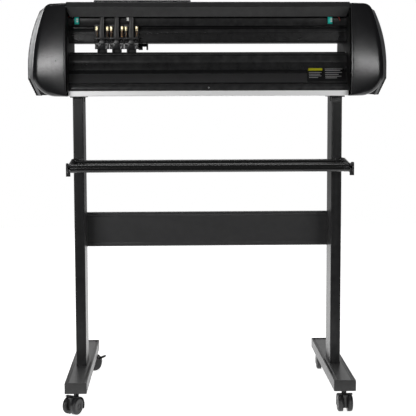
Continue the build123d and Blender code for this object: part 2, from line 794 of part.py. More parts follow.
def power_switch():
    """A rocker that tips about a pin across its middle."""
    face = -(CAP_SIDE + PANEL_OUT - 0.5)
    middle = (INLET_Z[0] + INLET_Z[1]) / 2
    outline = [
        (face - 0.2, middle + 9.2),
        (face + 2.2, middle),
        (face + 0.4, middle - 9.4),
        (face + 6, middle - 7.5),
        (face + 10, middle),
        (face + 6, middle + 7.5),
    ]
    rocker = prism_y(outline, (-32.8, -19.2), [1, 4, 1, 2, 2, 2])
    return rocker + rod_y(face + 4.5, (-34.5, -17.5), middle, 1.5)


def circuit_boards():
    """The main board and the power supply, standing on the left side plate."""
    board = block((-402, -400.4), (-70, 60), (845, 943))
    for y in (-60.0, 50.0):
        for z in (855.0, 933.0):
            board += rod_x((-400.5, -PLATE_OUT), y, z, 3)
    board += block((-412, -401), (-58, -30), (853, 881))
    board += block((-408, -401), (-8, 22), (893, 918))
    supply = block((-428, -414), (-40, 30), (859, 913))
    supply += block((-414.5, -401.5), (26, 29), (863, 909))
    return [board + supply]


def beam_connectors():
    """A small plug-and-socket block under the visor at each end of the beam."""
    rear = BEAM_REAR - 8
    sockets = []
    for x in (-346, 323):
        socket = block((x - 6, x + 6), (rear, BEAM_REAR), (1008, 1027))
        sockets.append(socket + block((x - 4, x + 4), (rear - 3, rear + 1), (1011, 1024)))
    return sockets


# ---------------------------------------------------------------- head: feed drive


def grit_shaft():
    """The driven shaft, with knurled bands that grip the media, and its timing wheel."""
    y, z = grit_centre()
    shaft = rod_x((-PLATE_IN + 2, PLATE_IN - 2), y, z, GRIT_RADIUS - 0.6)
    step = 2 * (PLATE_IN - 12) / GRIT_SEGMENTS
    for index in range(GRIT_SEGMENTS):
        low = -PLATE_IN + 12 + index * step
        shaft += rod_x((low + 6, low + step - 6), y, z, GRIT_RADIUS)
    shaft += rod_x((-PLATE_OUT - 1, PLATE_OUT + 20), y, z, 6)
    shaft += rod_x((PLATE_OUT + 6, PLATE_OUT + 7.5), y, z, 18)
    return shaft + rod_x((PLATE_OUT + 7, PLATE_OUT + 15), y, z, FEED_WHEEL)


def shaft_bearing(x):
    """The bush that the feed shaft turns in, set in a side plate."""
    y, z = grit_centre()
    ring = rod_x((x - 2.9, x + 2.9), y, z, 11)
    return ring - rod_x((x - 4, x + 4), y, z, 6 + RUN_CLEAR)


def motors():
    """The feed motor on its standoffs, and the carriage motor on its bracket."""
    half = MOTOR_SIZE / 2
    y, z = FEED_MOTOR
    low = PLATE_OUT + 24
    feed = block((low, low + 34), (y - half, y + half), (z - half, z + half))
    for sy in (-1, 1):
        for sz in (-1, 1):
            feed += rod_x((PLATE_OUT, low + 1), y + sy * 17, z + sz * 17, 2.6)
    drive = block((PULLEY_X - half, PULLEY_X + half), (-42, 2), (BELT_Z - half, BELT_Z + half))
    drive += block((PLATE_OUT, PULLEY_X + half), (2, 4.5), (BELT_Z - half, BELT_Z + half))
    drive -= rod_y(PULLEY_X, (-20, 6), BELT_Z, MOTOR_SHAFT + RUN_CLEAR)
    feed -= rod_x((low - 1, low + 20), y, z, MOTOR_SHAFT + RUN_CLEAR)
    return [feed, drive]


def feed_motor_pulley():
    """The feed motor's shaft and its small timing wheel."""
    y, z = FEED_MOTOR
    low = PLATE_OUT + 7
    pulley = rod_x((low, low + 8), y, z, FEED_PINION)
    pulley += rod_x((low + 8, low + 9.5), y, z, FEED_PINION + 2)
    return pulley + rod_x((low, PLATE_OUT + 42), y, z, MOTOR_SHAFT)


def drive_pulley():
    """The carriage motor's shaft and its toothed wheel."""
    wheel = rod_y(PULLEY_X, BELT_Y, BELT_Z, BELT_RADIUS - GAP)
    wheel += rod_y(PULLEY_X, (BELT_Y[1] + 0.5, BELT_Y[1] + 2), BELT_Z, BELT_RADIUS + 2)
    wheel += rod_y(PULLEY_X, (BELT_Y[1] - 1, BELT_Y[1] + 1), BELT_Z, BELT_RADIUS - 2)
    return wheel + rod_y(PULLEY_X, (-16, BELT_Y[1]), BELT_Z, MOTOR_SHAFT)


def idler_pulley():
    """The wheel that turns the long belt round at the far end."""
    wheel = rod_y(IDLER_X, BELT_Y, BELT_Z, BELT_RADIUS - GAP)
    wheel += rod_y(IDLER_X, (BELT_Y[1] - 1, BELT_Y[1] + 2), BELT_Z, BELT_RADIUS - 1)
    return wheel - rod_y(IDLER_X, (BELT_Y[0] - 1, BELT_Y[1] + 4), BELT_Z, 3 + RUN_CLEAR)


def loop(ends, width, axis):
    """A flat belt round two wheels: ends are (u, v, radius), in the plane across the axis."""
    (u0, v0, r0), (u1, v1, r1) = ends
    turn = Vector(u1 - u0, v1 - v0).get_signed_angle(Vector(1, 0), Vector(0, 0, -1))
    length = Vector(u1 - u0, v1 - v0).length

    def hull(extra):
        a, b = r0 + extra, r1 + extra
        lean = (a - b) / length
        rise = (1 - lean * lean) ** 0.5
        edges = Polyline(
            (a * lean, a * rise),
            (length + b * lean, b * rise),
            (length + b * lean, -b * rise),
            (a * lean, -a * rise),
            close=True,
        )
        return make_face(edges) + Circle(a) + Pos(length, 0) * Circle(b)

    flat = hull(BELT_THICK) - hull(0)
    return axis * Rot(0, 0, turn) * extrude(flat, width)


def belts():
    """The carriage's long timing belt and the feed drive's short one."""
    along = Plane(origin=(IDLER_X, BELT_Y[1], BELT_Z), x_dir=(1, 0, 0), z_dir=(0, -1, 0))
    wheels = [(0, 0, BELT_RADIUS), (PULLEY_X - IDLER_X, 0, BELT_RADIUS)]
    long_belt = loop(wheels, BELT_Y[1] - BELT_Y[0], along.location)
    grit_y, grit_z = grit_centre()
    motor_y, motor_z = FEED_MOTOR
    across = Plane(origin=(PLATE_OUT + 8, grit_y, grit_z), x_dir=(0, 1, 0), z_dir=(1, 0, 0))
    ends = [(0, 0, FEED_WHEEL + GAP), (motor_y - grit_y, motor_z - grit_z, FEED_PINION + GAP)]
    return [long_belt, loop(ends, 6, across.location)]


# ---------------------------------------------------------------- head: pinch units


def pinch_bracket(x):
    """The slider hooked in the beam's groove, with two lugs that carry the spring screws."""
    rear = BEAM_REAR - GAP
    hook = (rear - 1, BEAM_REAR + GROOVE_DEPTH - GAP)
    unit = block((-PINCH_HALF, PINCH_HALF), (rear - 4.5, rear), (LUG_LOW, 1007))
    unit += block((-PINCH_HALF, PINCH_HALF), hook, (GROOVE_LOW + GAP, GROOVE_HIGH - GAP))
    for side in (-1, 1):
        lug = sorted((side * 9.6, side * 15.9))
        unit += block(lug, (rear - PINCH_DEPTH, rear - 1), (LUG_LOW, LUG_LOW + 6))
        unit += rod_z(side * SPRING_X, rear - 13, (LUG_LOW, SPRING_HIGH + 1), 1.6)
        unit += rod_z(side * SPRING_X, rear - 13, (SPRING_HIGH, SPRING_HIGH + 11), 3.6)
    return Pos(x, 0, 0) * unit


def pinch_springs(x):
    """The two springs between the fork and the heads of the screws."""
    rear = BEAM_REAR - GAP - 13
    length = (SPRING_LOW, SPRING_HIGH - 0.3)
    springs = []
    for side in (-1, 1):
        spring = rod_z(side * SPRING_X, rear, length, 3.3)
        spring -= rod_z(side * SPRING_X, rear, (SPRING_LOW - 1, SPRING_HIGH), 2.5)
        springs.append(Pos(x, 0, 0) * spring)
    return springs


def fork_front(far):
    """The fork's front plate, waisted above the wheel."""
    outline = [
        (-18.7, 955.5),
        (-18.7, 942.5),
        (-12, 942.5),
        (-9, 943.5),
        (9, 943.5),
        (12, 942.5),
        (18.7, 942.5),
        (18.7, 955.5),
    ]
    return prism_y(outline, (far + 3, far + 7))


def pinch_fork(x):
    """The fork that carries the wheel, with the tall finger tab that lifts it."""
    y, z = pinch_centre()
    front = BEAM_REAR - GAP - 5.2
    far = BEAM_REAR - GAP - 18
    fork = block((-18.7, 18.7), (far, front), (FORK_TOP - 4, FORK_TOP)) + fork_front(far)
    fork += block((-8.9, 8.9), (far + 3, far + 6), (955, FORK_TOP - 3))
    fork += rod_y(0, (far, far + 5), 961, 6.5)
    fork += block((-5.5, 5.5), (far + 1, far + 6), (FORK_TOP - 3, STEM_TOP))
    for side in (-1, 1):
        fork += block(sorted((side * 16.5, side * 18.7)), (far + 3, front), (942.5, FORK_TOP - 3))
        fork += block(sorted((side * 9.6, side * 12.4)), (far + 3, y + 4), (933, 954.5))
        bore = sorted((side * 9, side * 13))
        fork -= rod_x(bore, y, z, 2 + RUN_CLEAR)
        fork -= rod_z(side * SPRING_X, BEAM_REAR - GAP - 13, (FORK_TOP - 5, FORK_TOP + 2), 2)
    return Pos(x, 0, 0) * fork


def pinch_wheel(x):
    """A rubber-faced wheel on its pin."""
    y, z = pinch_centre()
    wheel = rod_x((-9.2, 9.2), y, z, PINCH_RADIUS)
    wheel = fillet(wheel.edges().filter_by(GeomType.CIRCLE), 1.0)
    wheel += rod_x((-12.3, 12.3), y, z, 2)
    return Pos(x, 0, 0) * wheel


# ---------------------------------------------------------------- head: carriage


def carriage():
    """The slider on the guide rail, with the belt clamp and the tool bracket's cheeks."""
    half = CARRIAGE_HALF
    near = BEAM_FRONT + 4 + GAP
    front = 40.0
    rail = (RAIL_LOW - GAP, RAIL_HIGH + GAP)
    body = block((-half, half), (near, front), (RAIL_LOW - 5, RAIL_HIGH + 5))
    body -= block((-half - 1, half + 1), (near - 1, RAIL_FRONT + GAP), rail)
    body += block((-half, half), (RAIL_FRONT + 3, front), (RAIL_LOW - 5, 1019))
    band = BELT_Z - BELT_RADIUS
    clamp = block((-8, 8), (BELT_Y[0] + 1, RAIL_FRONT + 4), (band - BELT_THICK - 2.5, BELT_Z - 3))
    strand = (band - BELT_THICK - GAP, band + GAP)
    clamp -= block((-9, 9), (BELT_Y[0] - 1, BELT_Y[1] + GAP), strand)
    body += clamp + block((-27, -7), (front, front + 26), (971, 1017))
    body += block((-13, -1.7), (front, front + 8), (944, 1013))
    body += block((8.6, 13.3), (front, front + 8), (944, 1013))
    body += block((-13, 13.3), (front, front + 5), (952.8, 1013))
    return Pos(CARRIAGE_X, 0, 0) * body


def tool_clamp():
    """The plunger that rises and falls between the cheeks and grips the blade holder."""
    x = BLADE_X
    slide = block((x - 4.9, x + 4.9), (45.4, 49), (971, 1021))
    ring = rod_z(x, BLADE_Y, (974, 990), 9.4)
    ring += block((x - 4.9, x + 4.9), (48, BLADE_Y - 4), (975, 989))
    clamp = slide + ring - rod_z(x, BLADE_Y, (967, 1023), 5.8)
    screw = rod_y(x, (BLADE_Y + 7, 80), 982, 2.2) + rod_y(x, (72, 80), 982, 5.5)
    return Pos(CARRIAGE_X, 0, 0) * (clamp + screw)


def blade_holder():
    """The knurled holder and its swivelling drag blade."""
    x = CARRIAGE_X + BLADE_X
    body = rod_z(x, BLADE_Y, (961, 1003), 5.75) + rod_z(x, BLADE_Y, (990.4, 995), 8.5)
    body += rod_z(x, BLADE_Y, (1003, 1011), 4.2)
    nose = Pos(x, BLADE_Y, 958.5) * Cone(2.2, 5.75, 5)
    return body + nose + rod_z(x, BLADE_Y, (952.6, 957), 0.8)


# ---------------------------------------------------------------- writing the nodes


def write_stand():
    write("feet", *both(foot()))
    caps = both(foot_end_cap(FOOT_FRONT, 1)) + both(foot_end_cap(FOOT_BACK, -1))
    write("foot_end_caps", *caps)
    write("uprights", *both(upright()))
    write("crossbar", crossbar())
    write("head_mount_plates", *both(head_mount_plate()))
    write("stand_screws", *stand_screws(), *arm_screws())
    write("roll_arms", *both(roll_arm()))
    for name, y in ROLLER_Y.items():
        write(f"media_roller_{name}", media_roller(y))
    for name, (_, _, _, braked) in CASTERS.items():
        write(f"caster_fork_{name}", placed(caster_fork(braked), name))
        write(f"caster_wheels_{name}", placed(caster_wheels(), name))
        if braked:
            write(f"caster_brake_{name}", placed(caster_brake(), name))


def write_head():
    write("base_extrusion", base_extrusion())
    left_plate = other_side(side_plate())
    write("side_plates", side_plate(), left_plate + idler_post())
    write("end_cap_right", end_cap(1))
    write("end_cap_left", end_cap(-1))
    write("side_panel_right", side_panel(False))
    write("side_panel_left", other_side(side_panel(True)) - inlet_window())
    write("side_grips", *both(side_grip()))
    write("beam", beam())
    write("guide_rail", guide_rail())
    write("top_cover", top_cover())
    write("platen", platen())
    write("rear_apron", rear_apron())
    write("front_apron", front_apron())
    write("control_panel", control_panel())
    write("keypad", keypad())
    write("power_inlet", power_inlet())
    write("power_switch", power_switch())
    write("circuit_boards", *circuit_boards())
    write("beam_connectors", *beam_connectors())


def write_drives():
    write("grit_shaft", grit_shaft())
    write("shaft_bearings", *both(shaft_bearing(PLATE_OUT)))
    write("motors", *motors())
    write("feed_motor_pulley", feed_motor_pulley())
    write("drive_pulley", drive_pulley())
    write("idler_pulley", idler_pulley())
    write("belts", *belts())
    write("carriage", carriage())
    write("tool_clamp", tool_clamp())
    write("blade_holder", blade_holder())
    for number, x in PINCH_X.items():
        write(f"pinch_bracket_{number}", pinch_bracket(x))
        write(f"pinch_springs_{number}", *pinch_springs(x))
        write(f"pinch_fork_{number}", pinch_fork(x))
        write(f"pinch_wheel_{number}", pinch_wheel(x))


write_stand()
write_head()
write_drives()
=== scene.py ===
"""The looks of a floor-standing vinyl cutter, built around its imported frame.

Metres, +Z up. The media side of the machine faces -Y, towards the camera.
"""

import json
from math import cos, pi, radians, sin, sqrt

import bmesh
import bpy
from mathutils import Matrix, Vector


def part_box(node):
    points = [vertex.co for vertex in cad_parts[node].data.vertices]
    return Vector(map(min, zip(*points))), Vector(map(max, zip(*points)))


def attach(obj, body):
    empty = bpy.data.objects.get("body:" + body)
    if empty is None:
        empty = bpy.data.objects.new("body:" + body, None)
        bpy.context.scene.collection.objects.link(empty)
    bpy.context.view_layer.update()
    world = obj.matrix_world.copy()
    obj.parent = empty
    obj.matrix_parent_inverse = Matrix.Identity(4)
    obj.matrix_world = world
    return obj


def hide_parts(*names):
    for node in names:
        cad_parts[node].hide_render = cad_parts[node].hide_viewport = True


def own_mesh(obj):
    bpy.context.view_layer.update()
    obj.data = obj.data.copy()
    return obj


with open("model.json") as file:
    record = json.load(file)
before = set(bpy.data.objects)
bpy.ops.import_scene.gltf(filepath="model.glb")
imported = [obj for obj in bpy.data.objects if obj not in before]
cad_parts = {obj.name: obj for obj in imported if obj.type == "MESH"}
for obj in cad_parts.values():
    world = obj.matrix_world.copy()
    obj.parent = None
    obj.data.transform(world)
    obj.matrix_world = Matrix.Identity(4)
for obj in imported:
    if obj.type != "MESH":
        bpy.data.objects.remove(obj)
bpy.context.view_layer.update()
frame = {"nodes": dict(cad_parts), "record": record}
MM = 0.001
NODES = frame["nodes"]
SLOT_OF = {part["node"]: part["material_slot"] for part in frame["record"]["subparts"]}
JOINTS = {joint["name"]: joint for joint in frame["record"]["behaviour"]["joints"]}


# ---------------------------------------------------------------- shader nodes

ROUGH_SPREAD = 0.12
ROUGH_SCALE = 40.0
SCUFF_SCALE = 60.0
GRAIN_DEPTH = 0.2 * MM
WEAR_STARTS = 0.53
WEAR_ENDS = 0.62


def node_at(tree, kind, **values):
    """A shader node with its properties and its plain input values set."""
    node = tree.nodes.new(kind)
    for key, value in values.items():
        if hasattr(node, key) and key not in node.inputs:
            setattr(node, key, value)
        else:
            node.inputs[key.replace("_", " ")].default_value = value
    return node


def noise(tree, coordinates, scale, detail=3.0, stretch=None):
    """The value of a noise, drawn out along one axis if stretch says so."""
    source = coordinates
    if stretch:
        mapping = node_at(tree, "ShaderNodeMapping")
        mapping.inputs["Scale"].default_value = stretch
        tree.links.new(coordinates, mapping.inputs["Vector"])
        source = mapping.outputs["Vector"]
    texture = node_at(tree, "ShaderNodeTexNoise")
    texture.inputs["Scale"].default_value = scale
    texture.inputs["Detail"].default_value = detail
    tree.links.new(source, texture.inputs["Vector"])
    return texture.outputs["Fac"]


def remapped(tree, value, to_range, from_range=(0.0, 1.0)):
    """A value brought from one range into another, and kept inside it."""
    node = node_at(tree, "ShaderNodeMapRange")
    node.inputs["From Min"].default_value, node.inputs["From Max"].default_value = from_range
    node.inputs["To Min"].default_value, node.inputs["To Max"].default_value = to_range
    tree.links.new(value, node.inputs["Value"])
    return node.outputs["Result"]


def product(tree, first, second):
    """Two values multiplied."""
    node = node_at(tree, "ShaderNodeMath", operation="MULTIPLY")
    tree.links.new(first, node.inputs[0])
    tree.links.new(second, node.inputs[1])
    return node.outputs["Value"]


# ---------------------------------------------------------------- materials


def drifting_colour(tree, place, colour, spread, scale, stretch):
    """A colour that drifts a little darker and lighter over the piece."""
    tone = node_at(tree, "ShaderNodeMix", data_type="RGBA")
    tree.links.new(noise(tree, place, scale, 4.0, stretch), tone.inputs["Factor"])
    tone.inputs["A"].default_value = [c * (1 - spread) for c in colour] + [1]
    tone.inputs["B"].default_value = [min(c * (1 + spread), 1) for c in colour] + [1]
    return tone.outputs["Result"]


def worn_colour(tree, place, shown, wear):
    """A colour that is rubbed through to the wear colour on exposed edges."""
    ramp = node_at(tree, "ShaderNodeValToRGB")
    ramp.color_ramp.elements[0].position = WEAR_STARTS
    ramp.color_ramp.elements[1].position = WEAR_ENDS
    exposed = node_at(tree, "ShaderNodeNewGeometry").outputs["Pointiness"]
    tree.links.new(exposed, ramp.inputs["Fac"])
    scuffs = product(tree, ramp.outputs["Color"], noise(tree, place, SCUFF_SCALE))
    worn = node_at(tree, "ShaderNodeMix", data_type="RGBA")
    tree.links.new(scuffs, worn.inputs["Factor"])
    tree.links.new(shown, worn.inputs["A"])
    worn.inputs["B"].default_value = [*wear, 1]
    return worn.outputs["Result"]


def grained_normal(tree, place, grain, scale, stretch, rounding):
    """A fine grain, over edges that catch the light as if they were rounded."""
    bump = node_at(tree, "ShaderNodeBump")
    bump.inputs["Strength"].default_value = grain
    bump.inputs["Distance"].default_value = GRAIN_DEPTH
    tree.links.new(noise(tree, place, scale, 2.0, stretch), bump.inputs["Height"])
    if rounding:
        edge_round = node_at(tree, "ShaderNodeBevel", samples=3)
        edge_round.inputs["Radius"].default_value = rounding * MM
        tree.links.new(edge_round.outputs["Normal"], bump.inputs["Normal"])
    return bump.outputs["Normal"]


def surface(
    name,
    colour,
    rough,
    metallic=0.0,
    specular=0.5,
    spread=0.12,
    tone_scale=14.0,
    grain=0.02,
    grain_scale=900.0,
    stretch=None,
    wear=None,
    rounding=0.5,
    coat=0.0,
    coat_rough=0.2,
):
    """A finish with a drifting colour, uneven roughness, fine grain and worn edges."""
    material = bpy.data.materials.new(name)
    material.use_nodes = True
    tree = material.node_tree
    shader = tree.nodes["Principled BSDF"]
    shader.inputs["Metallic"].default_value = metallic
    shader.inputs["Specular IOR Level"].default_value = specular
    shader.inputs["Coat Weight"].default_value = coat
    shader.inputs["Coat Roughness"].default_value = coat_rough
    place = node_at(tree, "ShaderNodeTexCoord").outputs["Object"]
    shown = drifting_colour(tree, place, colour, spread, tone_scale, stretch)
    if wear:
        shown = worn_colour(tree, place, shown, wear)
    tree.links.new(shown, shader.inputs["Base Color"])
    patches = noise(tree, place, ROUGH_SCALE, 3.0, stretch)
    rough_range = (rough * (1 - ROUGH_SPREAD), min(rough * (1 + ROUGH_SPREAD), 1))
    tree.links.new(remapped(tree, patches, rough_range), shader.inputs["Roughness"])
    normal = grained_normal(tree, place, grain, grain_scale, stretch, rounding)
    tree.links.new(normal, shader.inputs["Normal"])
    return material


def gray(level):
    """A neutral colour."""
    return (level, level, level)


ALONG_X = (0.03, 1.0, 1.0)
ALONG_Y = (1.0, 0.03, 1.0)
PAINT_GRAIN = 1500
MOULD_GRAIN = 2200

FINISH = {
    "black_paint": surface(
        "powder_black", (0.007, 0.007, 0.0075), 0.3,
        specular=0.35, grain=0.25, grain_scale=PAINT_GRAIN, wear=gray(0.05),
    ),
    "black_anodised": surface(
        "anodised_black", (0.005, 0.005, 0.0055), 0.22,
        grain=0.015, stretch=ALONG_X, wear=gray(0.07),
    ),
    "foot_anodised": surface(
        "anodised_foot", (0.02, 0.02, 0.021), 0.35,
        grain=0.05, stretch=ALONG_Y, wear=gray(0.1),
    ),
    "black_plastic": surface(
        "moulded_black", (0.011, 0.011, 0.012), 0.26,
        grain=0.16, grain_scale=MOULD_GRAIN, wear=gray(0.04),
    ),
    "gray_plastic": surface(
        "moulded_gray", (0.06, 0.0615, 0.064), 0.45,
        specular=0.35, grain=0.2, grain_scale=MOULD_GRAIN, wear=(0.2, 0.2, 0.205),
    ),
    "grip_rubber": surface(
        "grip_rubber", gray(0.006), 0.9, grain=0.35, grain_scale=1200, specular=0.1
    ),
    "bare_aluminium": surface(
        "bare_aluminium", gray(0.88), 0.45, 0.4, grain=0.1, stretch=ALONG_X, spread=0.06
    ),
    "steel": surface("zinc_steel", (0.55, 0.55, 0.56), 0.3, 1.0, grain=0.08, spread=0.1),
    "grit_steel": surface("grit_steel", gray(0.3), 0.55, 1.0, grain=0.9, grain_scale=2600),
    "caster_nylon": surface(
        "caster_nylon", (0.008, 0.008, 0.009), 0.4, grain=0.15, wear=gray(0.05)
    ),
    "pinch_paint": surface(
        "pinch_paint", (0.012, 0.012, 0.013), 0.35, grain=0.1, wear=gray(0.08)
    ),
    "pinch_rubber": surface("pinch_rubber", gray(0.02), 0.75, grain=0.3, specular=0.3),
    "spring_brass": surface("spring_copper", (0.72, 0.42, 0.22), 0.28, 1.0, grain=0.03),
    "belt_rubber": surface("belt_rubber", gray(0.02), 0.7, grain=0.3),
    "carriage_paint": surface(
        "carriage_paint", (0.012, 0.012, 0.013), 0.4, grain=0.15, wear=gray(0.06)
    ),
    "tool_steel": surface("tool_steel", (0.5, 0.5, 0.52), 0.22, 1.0, grain=0.04),
    "holder_blue": surface("holder_blue", (0.03, 0.08, 0.3), 0.25, 0.6, grain=0.05),
    "motor_black": surface("motor_black", gray(0.03), 0.4, grain=0.1),
    "board_green": surface(
        "board_green", (0.01, 0.12, 0.04), 0.4, grain=0.1, tone_scale=60.0
    ),
    "connector_teal": surface("connector_teal", (0.01, 0.55, 0.46), 0.4, grain=0.03),
    "overlay": surface("overlay", (0.02, 0.021, 0.024), 0.25, grain=0.02, coat=0.5),
    "switch_gloss": surface("switch_gloss", (0.45, 0.02, 0.015), 0.2, grain=0.01, coat=0.6),
}

# Finishes of single nodes that differ from the rest of their slot.
PLATE_BLACK = surface(
    "plate_black", gray(0.006), 0.5, specular=0.12, grain=0.2, grain_scale=PAINT_GRAIN
)
BED_BLACK = surface(
    "bed_black", (0.006, 0.006, 0.0065), 0.55, specular=0.3, grain=0.005, stretch=ALONG_X
)
BAR_BLACK = surface(
    "bar_black", (0.027, 0.027, 0.028), 0.32,
    grain=0.25, grain_scale=PAINT_GRAIN, wear=gray(0.05),
)
ROLLER_BLACK = surface("roller_black", gray(0.012), 0.2, grain=0.03, stretch=ALONG_X)
CAP_GRAIN = surface(
    "foot_cap_black", gray(0.008), 0.5, grain=0.2, grain_scale=MOULD_GRAIN, wear=gray(0.04)
)
NODE_FINISH = {
    "side_plates": PLATE_BLACK,
    "crossbar": BAR_BLACK,
    "platen": BED_BLACK,
    "media_roller_front": ROLLER_BLACK,
    "media_roller_rear": ROLLER_BLACK,
    "foot_end_caps": CAP_GRAIN,
}

# Finishes of pieces that only this script makes.
BRASS = surface("screw_brass", (0.95, 0.8, 0.5), 0.3, 0.55, grain=0.02)
# Painted reflection: a lighter black for the band on the apron's slanted foot, standing in for
# the floor reflected there.
PAINTED_FLOOR_REFLECTION = surface(
    "painted_floor_reflection", (0.06, 0.06, 0.062), 0.42, grain=0.1, stretch=ALONG_X, rounding=0
)
LABEL_BLACK = surface("label_film", (0.012, 0.012, 0.013), 0.35, grain=0.01, rounding=0)
LABEL_YELLOW = surface("label_yellow", (0.75, 0.72, 0.02), 0.4, grain=0.01, rounding=0)
LABEL_WHITE = surface("label_white", gray(0.7), 0.4, grain=0.01, rounding=0)
CONNECTOR_WHITE = surface("connector_white", (0.75, 0.75, 0.72), 0.4, grain=0.02)
WIRE_RED = surface("wire_red", (0.35, 0.03, 0.02), 0.45, grain=0.02, rounding=0)
WIRE_BLACK = surface("wire_black", gray(0.02), 0.45, grain=0.02, rounding=0)
STRIP_WHITE = surface(
    "cutting_strip", (0.62, 0.61, 0.57), 0.5, grain=0.05, stretch=ALONG_X, rounding=0
)
DISPLAY = surface(
    "display_glass", (0.05, 0.075, 0.05), 0.08, grain=0.0, coat=1.0, coat_rough=0.03
)
KEY_GRAY = surface("key_gray", (0.3, 0.31, 0.33), 0.4, grain=0.05)


# ---------------------------------------------------------------- making pieces


def add_piece(name, bm, material, body, stands_for=(), sharp=35):
    """A piece from a bmesh: smooth below the sharp angle, in one finish, riding on its body."""
    bmesh.ops.recalc_face_normals(bm, faces=bm.faces)
    mesh = bpy.data.meshes.new(name)
    bm.to_mesh(mesh)
    bm.free()
    mesh.shade_smooth()
    mesh.set_sharp_from_angle(angle=radians(sharp))
    mesh.materials.append(material)
    piece = bpy.data.objects.new(name, mesh)
    bpy.context.scene.collection.objects.link(piece)
    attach(piece, body)
    if stands_for:
        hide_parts(*stands_for)
    return piece


def lattice(bm, rings, closed=False):
    """A skin over rings of points that all have the same count."""
    rows = [[bm.verts.new(point) for point in ring] for ring in rings]
    for low, high in zip(rows, rows[1:]):
        count = len(low) if closed else len(low) - 1
        for i in range(count):
            j = (i + 1) % len(low)
            bm.faces.new((low[i], low[j], high[j], high[i]))
    return rows


def closed_skin(bm, rings):
    """A skin round closed rings, with flat ends."""
    rows = lattice(bm, rings, closed=True)
    bm.faces.new(rows[0])
    bm.faces.new(rows[-1])


def axes_about(axis):
    """A unit vector along an axis, and two across it."""
    along = Vector(axis).normalized()
    side = along.orthogonal().normalized()
    return along, side, along.cross(side)


def circle(centre, side, other, radius, segments):
    """Points round a centre, in the plane of two unit vectors."""
    turns = [2 * pi * k / segments for k in range(segments)]
    return [centre + (side * cos(turn) + other * sin(turn)) * radius for turn in turns]


def turned(bm, profile, centre, axis, segments=32):
    """A lathe shape: profile is (distance along the axis, radius), closed by flat ends."""
    along, side, other = axes_about(axis)
    rings = []
    for reach, radius in profile:
        rings.append(circle(Vector(centre) + along * reach, side, other, radius, segments))
    closed_skin(bm, rings)


def tube(bm, path, radius, segments=8):
    """A round wire along a list of points."""
    rings = []
    last = len(path) - 1
    side = None
    for i, point in enumerate(path):
        ahead = (path[min(i + 1, last)] - path[max(i - 1, 0)]).normalized()
        if side is None:
            side = ahead.orthogonal().normalized()
        side = (side - ahead * side.dot(ahead)).normalized()
        rings.append(circle(point, side, ahead.cross(side), radius, segments))
    closed_skin(bm, rings)


def slab(bm, low, high, bevel=0.0):
    """A box, with softened edges if it has a bevel."""
    made = bmesh.ops.create_cube(bm, size=1.0)["verts"]
    for vert in made:
        vert.co = Vector([low[i] + (high[i] - low[i]) * (vert.co[i] + 0.5) for i in range(3)])
    if bevel:
        edges = list({edge for vert in made for edge in vert.link_edges})
        bmesh.ops.bevel(bm, geom=edges, offset=bevel, segments=2, affect="EDGES", profile=0.5)


def curve_points(points, steps=8):
    """Points of a smooth line through given points."""
    line = [Vector(p) for p in points]
    line = [line[0] * 2 - line[1], *line, line[-1] * 2 - line[-2]]
    result = []
    for a, b, c, d in zip(line, line[1:], line[2:], line[3:]):
        for k in range(steps):
            t = k / steps
            slope = (c - a) * t
            bend = (2 * a - 5 * b + 4 * c - d) * t**2
            twist = (3 * b - a - 3 * c + d) * t**3
            result.append(0.5 * ((2 * b) + slope + bend + twist))
    return [*result, line[-2]]


# ---------------------------------------------------------------- CAD nodes that stay


def dress_cad():
    """Every CAD node gets its finish, with smooth round faces and clean flats."""
    for name, node in NODES.items():
        node.data.materials.clear()
        node.data.materials.append(NODE_FINISH.get(name, FINISH[SLOT_OF[name]]))
        weld = node.modifiers.new("weld", "WELD")
        weld.merge_threshold = 0.01 * MM
        normals = node.modifiers.new("normals", "WEIGHTED_NORMAL")
        normals.keep_sharp = False


# ---------------------------------------------------------------- the moulded caps

CAP_LOW, CAP_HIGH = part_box("end_cap_right")
CAP_CORNER = 60 * MM
CAP_SHOULDER = 15 * MM
CAP_MID_Z = 898 * MM
CAP_BOW_X = 480 * MM
CAP_BOW_Y = 604 * MM
CAP_EDGE = 17 * MM
CAP_RIM = 5 * MM
CAP_SKIN = 2.4 * MM
CAP_CROWN = 9 * MM
CAP_TAPER = 0.35
CAP_LEAN = radians(16)
CAP_TURN_STEPS = 12
CAP_FLAT_STEPS = 6


def rounded_in(distance, radius):
    """How far a quarter round of that radius has turned in, at a distance from its end."""
    if distance >= radius:
        return 0.0
    return radius - sqrt(radius**2 - (radius - distance) ** 2)


def cap_side(z):
    """The outer side of a cap at a height: big lower corner, bowed side, small shoulder."""
    side = CAP_HIGH.x
    bow_from = CAP_LOW.z + CAP_CORNER
    if z < bow_from:
        return side - rounded_in(z - CAP_LOW.z, CAP_CORNER)
    bowed = side - (z - bow_from) ** 2 / (2 * CAP_BOW_X)
    return bowed - rounded_in(CAP_HIGH.z - z, CAP_SHOULDER)


def cap_crowned_face(inner, flat, rear):
    """The face towards the media side, which swells on its way out to the rounded edge."""
    points = []
    for k in range(CAP_TURN_STEPS):
        share = k / CAP_TURN_STEPS
        swell = CAP_CROWN * (CAP_TAPER + (1 - CAP_TAPER) * share) * share
        points.append((inner + flat * share, rear + swell))
    return points


def cap_leaning_edge(bend_x, round_x, rear):
    """The edge between that face and the side: a round that sets off at a lean."""
    points = []
    for k in range(CAP_TURN_STEPS + 1):
        turn = CAP_LEAN + (pi / 2 - CAP_LEAN) * k / CAP_TURN_STEPS
        reach = (sin(turn) - sin(CAP_LEAN)) / (1 - sin(CAP_LEAN))
        sink = (cos(CAP_LEAN) - cos(turn)) / cos(CAP_LEAN)
        points.append((bend_x + round_x * reach, rear + CAP_EDGE * sink))
    return points


